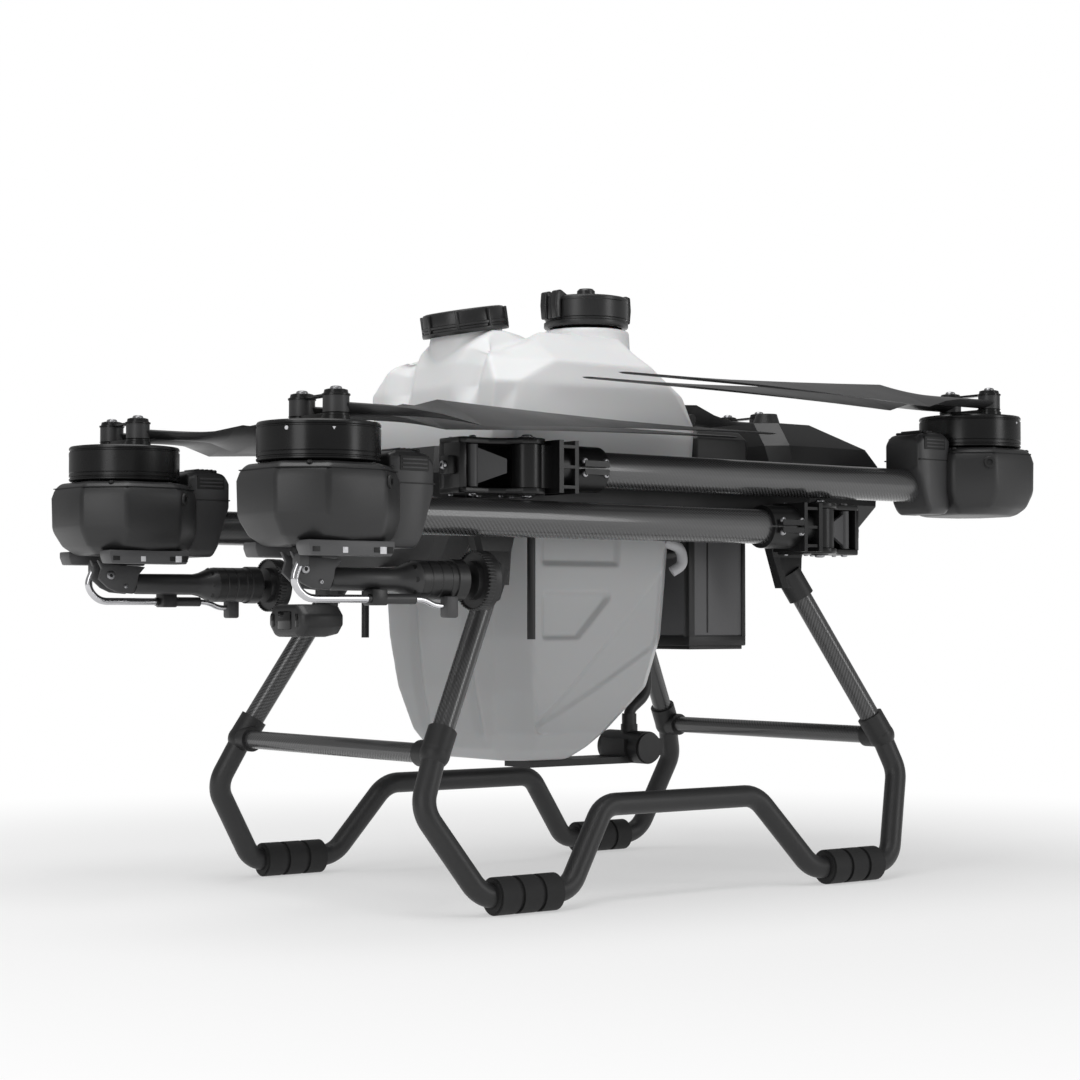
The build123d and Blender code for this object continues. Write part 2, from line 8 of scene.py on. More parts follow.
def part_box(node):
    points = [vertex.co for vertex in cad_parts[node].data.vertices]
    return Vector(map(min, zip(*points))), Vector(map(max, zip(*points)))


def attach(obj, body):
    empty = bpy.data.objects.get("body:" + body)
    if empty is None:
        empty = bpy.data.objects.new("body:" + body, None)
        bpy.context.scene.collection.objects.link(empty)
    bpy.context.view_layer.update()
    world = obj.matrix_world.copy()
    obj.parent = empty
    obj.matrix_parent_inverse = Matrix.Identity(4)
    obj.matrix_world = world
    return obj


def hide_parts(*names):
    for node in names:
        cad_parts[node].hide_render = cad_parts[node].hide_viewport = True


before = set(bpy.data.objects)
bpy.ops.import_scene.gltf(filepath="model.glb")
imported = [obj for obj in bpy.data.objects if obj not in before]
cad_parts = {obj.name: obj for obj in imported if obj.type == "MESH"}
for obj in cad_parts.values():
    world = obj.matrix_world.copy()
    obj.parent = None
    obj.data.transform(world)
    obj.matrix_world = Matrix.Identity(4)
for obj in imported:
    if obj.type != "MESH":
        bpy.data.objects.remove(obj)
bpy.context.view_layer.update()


# Studio: a seamless pale floor that runs out into white, a large soft light overhead, a tall one
# at the left and a smaller one at the right, and a long lens a little above the skids.
def studio_floor(reach):
    mesh = bpy.data.meshes.new("studio_floor")
    mesh.from_pydata([(-reach, -reach, 0), (reach, -reach, 0), (reach, reach, 0), (-reach, reach, 0)],
                     [], [(0, 1, 2, 3)])
    floor = bpy.data.objects.new("studio_floor", mesh)
    bpy.context.scene.collection.objects.link(floor)
    paper = bpy.data.materials.new("studio paper")
    paper.use_nodes = True
    nodes, links = paper.node_tree.nodes, paper.node_tree.links
    nodes.clear()
    near = nodes.new("ShaderNodeBsdfDiffuse")
    near.inputs["Color"].default_value = (0.90, 0.90, 0.90, 1)
    far = nodes.new("ShaderNodeEmission")
    place = nodes.new("ShaderNodeTexCoord")
    distance = nodes.new("ShaderNodeVectorMath")
    distance.operation = "LENGTH"
    fade = nodes.new("ShaderNodeMapRange")
    fade.interpolation_type = "SMOOTHSTEP"
    fade.inputs["From Min"].default_value = 0.7
    fade.inputs["From Max"].default_value = 1.9
    fade.inputs["To Min"].default_value = 0.45
    blend = nodes.new("ShaderNodeMixShader")
    out = nodes.new("ShaderNodeOutputMaterial")
    links.new(place.outputs["Object"], distance.inputs[0])
    links.new(distance.outputs["Value"], fade.inputs["Value"])
    links.new(fade.outputs["Result"], blend.inputs["Fac"])
    links.new(near.outputs[0], blend.inputs[1])
    links.new(far.outputs[0], blend.inputs[2])
    links.new(blend.outputs[0], out.inputs["Surface"])
    mesh.materials.append(paper)


def soft_light(name, spot, width, height, power):
    light = bpy.data.lights.new(name, "AREA")
    light.shape = "RECTANGLE"
    light.size, light.size_y = width, height
    light.energy = power
    lamp = bpy.data.objects.new(name, light)
    lamp.location = spot
    lamp.rotation_euler = (Vector((0, 0, 0.42)) - Vector(spot)).to_track_quat("-Z", "Y").to_euler()
    bpy.context.scene.collection.objects.link(lamp)


studio_floor(20.0)
soft_light("overhead softbox", (0.2, -0.6, 3.0), 2.2, 2.2, 50)
soft_light("left softbox", (1.3, -3.2, 1.5), 1.2, 2.0, 20)
soft_light("right softbox", (3.4, 1.9, 1.4), 1.0, 2.0, 22)

studio = bpy.data.worlds.new("studio")
studio.use_nodes = True
sky, sky_links = studio.node_tree.nodes, studio.node_tree.links
lit = sky.new("ShaderNodeBackground")
lit.inputs["Strength"].default_value = 0.34
seen = sky["Background"]
seen.inputs["Color"].default_value = (1, 1, 1, 1)
seen.inputs["Strength"].default_value = 1.0
lit.inputs["Color"].default_value = (1, 1, 1, 1)
ray = sky.new("ShaderNodeLightPath")
choose = sky.new("ShaderNodeMixShader")
sky_links.new(ray.outputs["Is Camera Ray"], choose.inputs["Fac"])
sky_links.new(lit.outputs[0], choose.inputs[1])
sky_links.new(seen.outputs[0], choose.inputs[2])
sky_links.new(choose.outputs[0], sky["World Output"].inputs["Surface"])
bpy.context.scene.world = studio
bpy.context.scene.view_settings.view_transform = "Standard"

lens = bpy.data.cameras.new("camera")
lens.lens, lens.sensor_width = 77.4, 36.0
viewer = bpy.data.objects.new("camera", lens)
viewer.location = (2.6276, -2.0500, 0.3680)
viewer.rotation_euler = (radians(91.98), 0, radians(52.68))
bpy.context.scene.collection.objects.link(viewer)
bpy.context.scene.camera = viewer


# Arm tubes: four 48 mm roll-wrapped carbon tubes in 2/2 twill with a clear resin coat. The two
# pairs lie at different heights, so that the folded arms pass each other.
def shader_group(name, inputs, outputs):
    """A node group, its input node and its output node."""
    tree = bpy.data.node_groups.new(name, "ShaderNodeTree")
    for label, kind, value in inputs:
        socket = tree.interface.new_socket(label, in_out="INPUT", socket_type="NodeSocket" + kind)
        socket.default_value = value
    for label, kind in outputs:
        tree.interface.new_socket(label, in_out="OUTPUT", socket_type="NodeSocket" + kind)
    return tree, tree.nodes.new("NodeGroupInput"), tree.nodes.new("NodeGroupOutput")


def calc(tree, operation, *values):
    node = tree.nodes.new("ShaderNodeMath")
    node.operation = operation
    for socket, value in zip(node.inputs, values):
        if isinstance(value, (int, float)):
            socket.default_value = value
        else:
            tree.links.new(value, socket)
    return node.outputs[0]


def mixed(tree, amount, first, second):
    node = tree.nodes.new("ShaderNodeMix")
    node.data_type = "RGBA"
    for socket, value in zip((node.inputs[0], node.inputs[6], node.inputs[7]), (amount, first, second)):
        if isinstance(value, (float, tuple)):
            socket.default_value = value
        else:
            tree.links.new(value, socket)
    return node.outputs[2]


def twill_weave():
    """2/2 twill wrapped round a tube that runs along Z through the given point; the weft's lighter colour is
    painted sheen, and the colour darkens towards each tow's edges as painted shade.
    """
    tree, given, out = shader_group(
        "carbon twill", [("Point", "Vector", (0, 0, 0)), ("Tow", "Float", 0.0015),
                         ("Radius", "Float", 0.024), ("Warp", "Color", (0.012, 0.012, 0.012, 1)),
                         ("Weft Painted Sheen", "Color", (0.075, 0.075, 0.077, 1)), ("Relief", "Float", 0.3)],
        [("Color", "Color"), ("Roughness", "Float"), ("Normal", "Vector")])
    split = tree.nodes.new("ShaderNodeSeparateXYZ")
    tree.links.new(given.outputs["Point"], split.inputs[0])
    turn = calc(tree, "ARCTAN2", split.outputs[1], split.outputs[0])
    around = calc(tree, "DIVIDE", calc(tree, "MULTIPLY", turn, given.outputs["Radius"]),
                  given.outputs["Tow"])
    along = calc(tree, "DIVIDE", split.outputs[2], given.outputs["Tow"])
    step = calc(tree, "SUBTRACT", calc(tree, "FLOOR", around), calc(tree, "FLOOR", along))
    over = calc(tree, "LESS_THAN", calc(tree, "FLOORED_MODULO", step, 4.0), 1.5)
    crown_warp = calc(tree, "SINE", calc(tree, "MULTIPLY", calc(tree, "FRACT", around), pi))
    crown_weft = calc(tree, "SINE", calc(tree, "MULTIPLY", calc(tree, "FRACT", along), pi))
    crown = calc(tree, "ADD", calc(tree, "MULTIPLY", over, crown_warp),
                 calc(tree, "MULTIPLY", calc(tree, "SUBTRACT", 1.0, over), crown_weft))
    # Painted sheen: the weft tows are coloured lighter than the warp tows, standing in for the fibres'
    # reflection.
    tow_sheen = mixed(tree, over, given.outputs["Weft Painted Sheen"], given.outputs["Warp"])
    # Painted shade: each tow's colour darkens towards its edges, as shade on its rounded crown.
    shade = calc(tree, "MULTIPLY_ADD", crown, 0.5, 0.5)
    tree.links.new(mixed(tree, shade, (0.004, 0.004, 0.004, 1), tow_sheen), out.inputs["Color"])
    tree.links.new(calc(tree, "MULTIPLY_ADD", over, 0.12, 0.26), out.inputs["Roughness"])
    bump = tree.nodes.new("ShaderNodeBump")
    bump.inputs["Distance"].default_value = 0.00015
    tree.links.new(given.outputs["Relief"], bump.inputs["Strength"])
    tree.links.new(crown, bump.inputs["Height"])
    tree.links.new(bump.outputs["Normal"], out.inputs["Normal"])
    return tree


def carbon(name, folded, centre, turned, radius, coat):
    """Twill finish round one tube axis, or round the mirror images of it in the folded axes."""
    mat = bpy.data.materials.new(name)
    mat.use_nodes = True
    tree = mat.node_tree
    shader = tree.nodes["Principled BSDF"]
    place = tree.nodes.new("ShaderNodeTexCoord")
    split = tree.nodes.new("ShaderNodeSeparateXYZ")
    joined = tree.nodes.new("ShaderNodeCombineXYZ")
    tree.links.new(place.outputs["Object"], split.inputs[0])
    for k, axis in enumerate("XYZ"):
        value = calc(tree, "ABSOLUTE", split.outputs[k]) if axis in folded else split.outputs[k]
        tree.links.new(value, joined.inputs[k])
    centred = tree.nodes.new("ShaderNodeMapping")
    centred.vector_type = "TEXTURE"
    centred.inputs["Location"].default_value = centre
    centred.inputs["Rotation"].default_value = turned
    weave = tree.nodes.new("ShaderNodeGroup")
    weave.node_tree = carbon_twill
    weave.inputs["Radius"].default_value = radius
    tree.links.new(joined.outputs[0], centred.inputs["Vector"])
    tree.links.new(centred.outputs[0], weave.inputs["Point"])
    for output, socket in (("Color", "Base Color"), ("Roughness", "Roughness"), ("Normal", "Normal")):
        tree.links.new(weave.outputs[output], shader.inputs[socket])
    shader.inputs["Coat Weight"].default_value = coat
    shader.inputs["Coat Roughness"].default_value = 0.09
    shader.inputs["Specular IOR Level"].default_value = 0.65
    return mat


def dress(node, material):
    """Gives a CAD node one finish."""
    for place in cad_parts[node].material_slots:
        place.material = material


carbon_twill = twill_weave()
for end in ("front", "rear"):
    low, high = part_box(f"arm_tube_{end}_left")
    middle = (low + high) / 2
    arm_carbon = carbon(f"{end} arm carbon", "X", (middle.x, 0, middle.z), (pi / 2, 0, 0), 0.024, 0.8)
    for side in ("left", "right"):
        dress(f"arm_tube_{end}_{side}", arm_carbon)


# Upper legs and crossbars: thinner carbon tubes. Each leg leans in from its skid joint to a socket
# under the hinge, and a crossbar ties the two skids together at each end.
low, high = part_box("upper_legs")
leg_foot = Vector((0.239, 0.394, 0.201))
leg_top = Vector((0.187, 0.268, 0.424))
leg_turn = (leg_top - leg_foot).to_track_quat("Z", "Y").to_euler()
dress("upper_legs", carbon("leg carbon", "XY", leg_foot, leg_turn, 0.0145, 0.5))
low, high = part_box("crossbars")
dress("crossbars", carbon("crossbar carbon", "Y", (0, high.y - 0.0125, (low.z + high.z) / 2),
                          (0, pi / 2, 0), 0.0125, 0.5))


# Liquid tank: one blow-moulded shell of milky polyethylene. A boxy hump carries the main neck and
# a lower one in front carries the leaning filler neck, with a valley between them.
def solid(points, faces, material=0, bevel=0.0, segments=3, sharp=35, angle=24):
    """A closed mesh with outward faces, rounded edges and smooth shading."""
    mesh = bpy.data.meshes.new("solid")
    mesh.from_pydata([tuple(p) for p in points], [], faces)
    bm = bmesh.new()
    bm.from_mesh(mesh)
    bmesh.ops.remove_doubles(bm, verts=bm.verts, dist=2e-6)
    bmesh.ops.recalc_face_normals(bm, faces=bm.faces)
    bm.to_mesh(mesh)
    bm.free()
    if bevel:
        rough = bpy.data.objects.new("solid", mesh)
        bpy.context.scene.collection.objects.link(rough)
        edge = rough.modifiers.new("edge", "BEVEL")
        edge.width, edge.segments, edge.angle_limit = bevel, segments, radians(angle)
        edge.limit_method = "ANGLE"
        mesh = bpy.data.meshes.new_from_object(rough.evaluated_get(bpy.context.evaluated_depsgraph_get()))
        bpy.data.objects.remove(rough)
    mesh.polygons.foreach_set("use_smooth", [True] * len(mesh.polygons))
    mesh.polygons.foreach_set("material_index", [material] * len(mesh.polygons))
    mesh.set_sharp_from_angle(angle=radians(sharp))
    return mesh


def loft(rings, material=0, bevel=0.0, segments=3, closed=False, sharp=35, angle=24):
    """A solid through rings of equal point counts, capped at both ends unless it closes on itself."""
    count = len(rings[0])
    faces = []
    for i in range(len(rings) if closed else len(rings) - 1):
        a, b = i * count, ((i + 1) % len(rings)) * count
        faces += [(a + j, a + (j + 1) % count, b + (j + 1) % count, b + j) for j in range(count)]
    if not closed:
        faces += [tuple(range(count)), tuple(range((len(rings) - 1) * count, len(rings) * count))]
    return solid([p for ring in rings for p in ring], faces, material, bevel, segments, sharp, angle)


def lathe(profile, centre, axis=(0, 0, 1), steps=64, material=0, sharp=35, toward=None):
    """A turned solid: (radius, height) points of its closed outline about an axis."""
    w = Vector(axis).normalized()
    u = (Vector(toward) if toward else w.orthogonal())
    u = (u - w * u.dot(w)).normalized()
    v = w.cross(u)
    centre = Vector(centre)
    rings = []
    for step in range(steps):
        out = u * cos(2 * pi * step / steps) + v * sin(2 * pi * step / steps)
        rings.append([centre + out * r + w * h for r, h in profile])
    return loft(rings, material, closed=True, sharp=sharp)


def piece(name, meshes, materials, body, nodes=(), place=None):
    """Joins meshes into one object that rides on a body and stands for CAD nodes."""
    bm = bmesh.new()
    for mesh in meshes:
        bm.from_mesh(mesh)
    if place is not None:
        bm.transform(place)
        if place.determinant() < 0:
            bmesh.ops.reverse_faces(bm, faces=bm.faces)
    mesh = bpy.data.meshes.new(name)
    bm.to_mesh(mesh)
    bm.free()
    for material in materials:
        mesh.materials.append(material)
    thing = bpy.data.objects.new(name, mesh)
    bpy.context.scene.collection.objects.link(thing)
    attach(thing, body)
    if nodes:
        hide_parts(*nodes)
    return thing


def tank_ring(z, half, front, rear, front_cut, rear_cut):
    """Eight corners of one level in millimetres; a cut is how far (across, along) its corner goes."""
    fx, fy = front_cut
    rx, ry = rear_cut
    right = [(half - fx, front), (half, front + fy), (half, rear - ry), (half - rx, rear)]
    outline = right + [(-x, y) for x, y in reversed(right)]
    return [(x / 1000, y / 1000, z / 1000) for x, y in outline]


def tank_shell():
    body = loft([tank_ring(*level) for level in (
        (176, 92, -165, -45, (28, 28), (28, 28)), (192, 120, -186, -27, (38, 38), (38, 38)),
        (215, 140, -198, -5, (42, 42), (42, 42)), (275, 156, -212, 52, (40, 40), (40, 40)),
        (345, 162, -221, 72, (38, 38), (38, 38)), (470, 164, -228, 82, (36, 36), (36, 36)),
        (558, 164, -232, 84, (36, 36), (36, 36)), (562, 164, -233, 128, (36, 36), (36, 36)),
        (596, 163, -236, 132, (36, 36), (38, 38)))])
    dome = loft([tank_ring(*level) for level in (
        (560, 162, -233, 128, (30, 30), (38, 38)), (640, 163, -236, 133, (20, 20), (36, 34)),
        (687, 163, -236, 121, (15, 34), (48, 58)), (720, 156, -227, 98, (34, 90), (66, 68)),
        (742, 122, -214, 79, (20, 74), (52, 54)), (756, 102, -196, 72, (22, 66), (46, 46)),
        (767, 84, -176, 66, (24, 64), (38, 38)))])
    lean = radians(10)
    collar = lathe([(0, -0.05), (0.054, -0.05), (0.053, -0.004), (0.050, 0.0), (0.050, 0.012), (0, 0.012)],
                   (0, -0.176, 0.764), (0, -sin(lean), cos(lean)), 64)
    main_neck = lathe([(0, 0), (0.072, 0), (0.068, 0.034), (0.064, 0.050), (0.062, 0.086), (0, 0.086)],
                      (0, 0.037, 0.700), steps=72)
    return body, dome, collar, main_neck


def melted(parts, cell, rounds):
    """Joins overlapping solids into one skin and softens its edges as blow moulding does."""
    bm = bmesh.new()
    for part in parts:
        bm.from_mesh(part)
    mesh = bpy.data.meshes.new("skin")
    bm.to_mesh(mesh)
    bm.free()
    rough = bpy.data.objects.new("skin", mesh)
    bpy.context.scene.collection.objects.link(rough)
    remesh = rough.modifiers.new("one skin", "REMESH")
    remesh.mode, remesh.voxel_size, remesh.use_smooth_shade = "VOXEL", cell, True
    soft = rough.modifiers.new("soft edges", "SMOOTH")
    soft.factor, soft.iterations = 0.5, rounds
    mesh = bpy.data.meshes.new_from_object(rough.evaluated_get(bpy.context.evaluated_depsgraph_get()))
    bpy.data.objects.remove(rough)
    return mesh


def beyond(y, z, point, direction):
    """Distance of (y, z) to the right of a line, seen along its direction, in millimetres."""
    length = (direction[0] ** 2 + direction[1] ** 2) ** 0.5
    return ((y - point[0]) * direction[1] - (z - point[1]) * direction[0]) / length


def ease(value, low, high):
    t = min(max((value - low) / (high - low), 0.0), 1.0)
    return t * t * (3 - 2 * t)


def pressed_in(y, z, outline, edge=6.0):
    """1 inside a convex outline that runs clockwise in (y, z), falling to 0 over its soft edge."""
    inside = min(beyond(y, z, a, (b[0] - a[0], b[1] - a[1]))
                 for a, b in zip(outline, outline[1:] + outline[:1]))
    return ease(inside, 0.0, edge)


def tank_side_relief(y, z):
    """How far the tank's side is pressed in at (y, z), all in millimetres."""
    window = [(-167, 341), (-167, 407), (-50, 407), (-50, 396), (-104, 341)]
    label = [(-169, 441), (-169, 524), (-34, 524), (-34, 441)]
    depth = 6.0 * pressed_in(y, z, window) + 5.0 * pressed_in(y, z, label)
    fold = beyond(y, z, (-137, 257), (62, -78))
    depth += min(0.17 * max(fold, 0), 9.0)
    band = min(beyond(y, z, (-137, 257), (103, 105)), -beyond(y, z, (-120, 241), (141, 81)))
    depth += 5.0 * ease(band, 0, 8)
    return depth


def valley(x, y):
    """Depth in millimetres of the valley that runs between the two necks and down over the brow."""
    line = [(78, -250, 21, 38), (92, -200, 18, 34), (86, -150, 12, 26), (52, -100, 9, 22), (0, -76, 8, 20)]
    deepest = 0.0
    for (x0, y0, d0, w0), (x1, y1, d1, w1) in zip(line, line[1:]):
        run = ((x1 - x0) ** 2 + (y1 - y0) ** 2) ** 0.5
        t = ((abs(x) - x0) * (x1 - x0) + (y - y0) * (y1 - y0)) / run ** 2
        t = min(max(t, 0.0), 1.0)
        away = ((abs(x) - x0 - t * (x1 - x0)) ** 2 + (y - y0 - t * (y1 - y0)) ** 2) ** 0.5
        deepest = max(deepest, (d0 + t * (d1 - d0)) * ease(1 - away / (w0 + t * (w1 - w0)), 0, 1))
    return deepest


tank_skin = melted(tank_shell(), 0.0035, 6)
tank_turns = [v.normal.copy() for v in tank_skin.vertices]
for vertex, turn in zip(tank_skin.vertices, tank_turns):
    x, y, z = (1000 * value for value in vertex.co)
    if 190 < z < 548:
        side = ease(abs(turn.x), 0.75, 0.97) * ease(z, 190, 215)
        vertex.co.x -= (1 if x > 0 else -1) * side * tank_side_relief(y, z) / 1000
        front = ease(-turn.y, 0.75, 0.97) * ease(z, 190, 230)
        vertex.co.y += front * 6.0 * ease(16 - abs(abs(x) - 62), 0, 16) / 1000
    elif z > 650:
        vertex.co -= turn * valley(x, y) * ease(z, 650, 690) / 1000


def milky_plastic():
    mat = bpy.data.materials.new("milky polyethylene")
    mat.use_nodes = True
    tree = mat.node_tree
    shader = tree.nodes["Principled BSDF"]
    place = tree.nodes.new("ShaderNodeTexCoord")
    split = tree.nodes.new("ShaderNodeSeparateXYZ")
    tree.links.new(place.outputs["Object"], split.inputs[0])
    # Painted shade: the base colour runs from dark grey below z 0.50 to pale grey above z 0.66, standing in
    # for the shade on the lower tank under the arms; the cloud noise on top is a real random tone.
    height = tree.nodes.new("ShaderNodeMapRange")
    height.interpolation_type = "SMOOTHSTEP"
    for label, value in (("From Min", 0.50), ("From Max", 0.66)):
        height.inputs[label].default_value = value
    tree.links.new(split.outputs[2], height.inputs["Value"])
    cloud = tree.nodes.new("ShaderNodeTexNoise")
    cloud.inputs["Scale"].default_value = 7.0
    cloud.inputs["Detail"].default_value = 4.0
    tree.links.new(place.outputs["Object"], cloud.inputs["Vector"])
    shell = mixed(tree, height.outputs["Result"], (0.40, 0.405, 0.41, 1), (0.78, 0.785, 0.79, 1))
    shade_and_haze = mixed(tree, calc(tree, "MULTIPLY", cloud.outputs["Fac"], 0.14), shell, (0.34, 0.345, 0.35, 1))
    tree.links.new(shade_and_haze, shader.inputs["Base Color"])
    peel = tree.nodes.new("ShaderNodeTexNoise")
    peel.inputs["Scale"].default_value = 160.0
    bump = tree.nodes.new("ShaderNodeBump")
    bump.inputs["Distance"].default_value = 0.0004
    bump.inputs["Strength"].default_value = 0.18
    tree.links.new(place.outputs["Object"], peel.inputs["Vector"])
    tree.links.new(peel.outputs["Fac"], bump.inputs["Height"])
    tree.links.new(bump.outputs["Normal"], shader.inputs["Normal"])
    tree.links.new(calc(tree, "MULTIPLY_ADD", cloud.outputs["Fac"], 0.16, 0.30), shader.inputs["Roughness"])
    shader.inputs["Subsurface Weight"].default_value = 0.12
    shader.inputs["Subsurface Scale"].default_value = 0.01
    return mat


piece("tank_shell", [tank_skin], [milky_plastic()], "tank", ["tank"])


# Filler cap and main lid: glass-filled nylon mouldings. The screw cap leans forward and has short
# grip ribs round its wall; the lid is held by two over-centre latches and carries a breather.
def moulded_grain():
    """Fine spark texture with a slow drift of shade, as on nylon mouldings and coated metal."""
    tree, given, out = shader_group(
        "moulded grain", [("Dark", "Color", (0.03, 0.03, 0.03, 1)),
                          ("Light", "Color", (0.06, 0.06, 0.06, 1)),
                          ("Roughness", "Float", 0.5), ("Grain", "Float", 900.0), ("Depth", "Float", 0.2)],
        [("Color", "Color"), ("Roughness", "Float"), ("Normal", "Vector")])
    place = tree.nodes.new("ShaderNodeTexCoord")
    fine = tree.nodes.new("ShaderNodeTexNoise")
    broad = tree.nodes.new("ShaderNodeTexNoise")
    broad.inputs["Scale"].default_value = 11.0
    broad.inputs["Detail"].default_value = 6.0
    tree.links.new(given.outputs["Grain"], fine.inputs["Scale"])
    for noise in (fine, broad):
        tree.links.new(place.outputs["Object"], noise.inputs["Vector"])
    drift = calc(tree, "MULTIPLY_ADD", broad.outputs["Fac"], 0.9, -0.2)
    shade = calc(tree, "MULTIPLY_ADD", fine.outputs["Fac"], 0.5, drift)
    tree.links.new(mixed(tree, shade, given.outputs["Dark"], given.outputs["Light"]), out.inputs["Color"])
    swing = calc(tree, "MULTIPLY", calc(tree, "SUBTRACT", broad.outputs["Fac"], 0.5), 0.3)
    tree.links.new(calc(tree, "ADD", swing, given.outputs["Roughness"]), out.inputs["Roughness"])
    bump = tree.nodes.new("ShaderNodeBump")
    bump.inputs["Distance"].default_value = 0.0004
    tree.links.new(given.outputs["Depth"], bump.inputs["Strength"])
    tree.links.new(fine.outputs["Fac"], bump.inputs["Height"])
    tree.links.new(bump.outputs["Normal"], out.inputs["Normal"])
    return tree


def grained(name, dark, light, rough, grain=1200.0, depth=0.2, metallic=0.0):
    """A finish with the moulded grain: shades of grey, roughness, grain size and bump depth."""
    mat = bpy.data.materials.new(name)
    mat.use_nodes = True
    shader = mat.node_tree.nodes["Principled BSDF"]
    source = mat.node_tree.nodes.new("ShaderNodeGroup")
    source.node_tree = grain_group
    for label, value in (("Dark", (dark, dark, dark * 1.03, 1)), ("Light", (light, light, light * 1.03, 1)),
                         ("Roughness", rough), ("Grain", grain), ("Depth", depth)):
        source.inputs[label].default_value = value
    shader.inputs["Metallic"].default_value = metallic
    for output, socket in (("Color", "Base Color"), ("Roughness", "Roughness"), ("Normal", "Normal")):
        mat.node_tree.links.new(source.outputs[output], shader.inputs[socket])
    return mat


def brick(x0, x1, y0, y1, z0, z1, material=0, bevel=0.001, segments=2):
    """A block between two corners with rounded edges."""
    return loft([[(x0, y0, z), (x1, y0, z), (x1, y1, z), (x0, y1, z)] for z in (z0, z1)],
                material, bevel, segments)


def ring_of(mesh, count, centre, axis, name, finish):
    """Geometry Nodes: copies of a mesh set round an axis at equal angles."""
    tree = bpy.data.node_groups.new(name, "GeometryNodeTree")
    tree.interface.new_socket("Rib", in_out="INPUT", socket_type="NodeSocketGeometry")
    for label, kind, value in (("Count", "NodeSocketInt", count), ("Centre", "NodeSocketVector", centre),
                               ("Turn", "NodeSocketVector", (0, 0, 0)),
                               ("Finish", "NodeSocketMaterial", finish)):
        tree.interface.new_socket(label, in_out="INPUT", socket_type=kind).default_value = value
    tree.interface.new_socket("Ring", in_out="OUTPUT", socket_type="NodeSocketGeometry")
    given, out = tree.nodes.new("NodeGroupInput"), tree.nodes.new("NodeGroupOutput")
    spots = tree.nodes.new("GeometryNodePoints")
    index = tree.nodes.new("GeometryNodeInputIndex")
    step = calc(tree, "DIVIDE", calc(tree, "MULTIPLY", index.outputs[0], 2 * pi), given.outputs["Count"])
    turn = tree.nodes.new("ShaderNodeCombineXYZ")
    tree.links.new(step, turn.inputs[2])
    tree.links.new(given.outputs["Count"], spots.inputs["Count"])
    copies = tree.nodes.new("GeometryNodeInstanceOnPoints")
    tree.links.new(spots.outputs[0], copies.inputs["Points"])
    tree.links.new(given.outputs["Rib"], copies.inputs["Instance"])
    tree.links.new(turn.outputs[0], copies.inputs["Rotation"])
    placed = tree.nodes.new("GeometryNodeTransform")
    tree.links.new(copies.outputs[0], placed.inputs["Geometry"])
    tree.links.new(given.outputs["Centre"], placed.inputs["Translation"])
    tree.links.new(given.outputs["Turn"], placed.inputs["Rotation"])
    real = tree.nodes.new("GeometryNodeRealizeInstances")
    tree.links.new(placed.outputs[0], real.inputs[0])
    coat = tree.nodes.new("GeometryNodeSetMaterial")
    tree.links.new(real.outputs[0], coat.inputs["Geometry"])
    tree.links.new(given.outputs["Finish"], coat.inputs["Material"])
    tree.links.new(coat.outputs[0], out.inputs[0])
    thing = bpy.data.objects.new(name, mesh)
    bpy.context.scene.collection.objects.link(thing)
    modifier = thing.modifiers.new("ring", "NODES")
    modifier.node_group = tree
    sockets = {item.name: item.identifier for item in tree.interface.items_tree}
    modifier[sockets["Count"]] = count
    modifier[sockets["Centre"]] = centre
    modifier[sockets["Turn"]] = tuple(Vector(axis).to_track_quat("Z", "Y").to_euler())
    made = bpy.data.meshes.new_from_object(thing.evaluated_get(bpy.context.evaluated_depsgraph_get()))
    bpy.data.objects.remove(thing)
    made.materials.clear()
    for face in made.polygons:
        face.material_index = mesh.polygons[0].material_index
    return made


grain_group = moulded_grain()
cap_black = grained("glossy black nylon", 0.008, 0.018, 0.30, 1200.0, 0.1)
cap_base = Vector((0, -0.176, 0.764))
cap_axis = Vector((0, -sin(radians(10)), cos(radians(10))))
cap_drum = lathe([(0.0, 0.0145), (0.0505, 0.0145), (0.0505, 0.003), (0.0600, 0.003), (0.0610, 0.005),
                  (0.0610, 0.0085), (0.0585, 0.0095), (0.0585, 0.0125), (0.0605, 0.0135), (0.0605, 0.0165),
                  (0.0580, 0.0175), (0.0575, 0.0325), (0.0560, 0.0350), (0.0520, 0.0362), (0.0480, 0.0350),
                  (0.0, 0.0350)], cap_base, cap_axis, 72)
cap_rib = brick(0.0560, 0.0615, -0.0022, 0.0022, 0.008, 0.034, 0, 0.0012)
cap_ribs = ring_of(cap_rib, 8, tuple(cap_base), cap_axis, "cap_ribs", cap_black)
piece("filler_cap_cover", [cap_drum, cap_ribs], [cap_black], "filler_cap", ["filler_cap"])

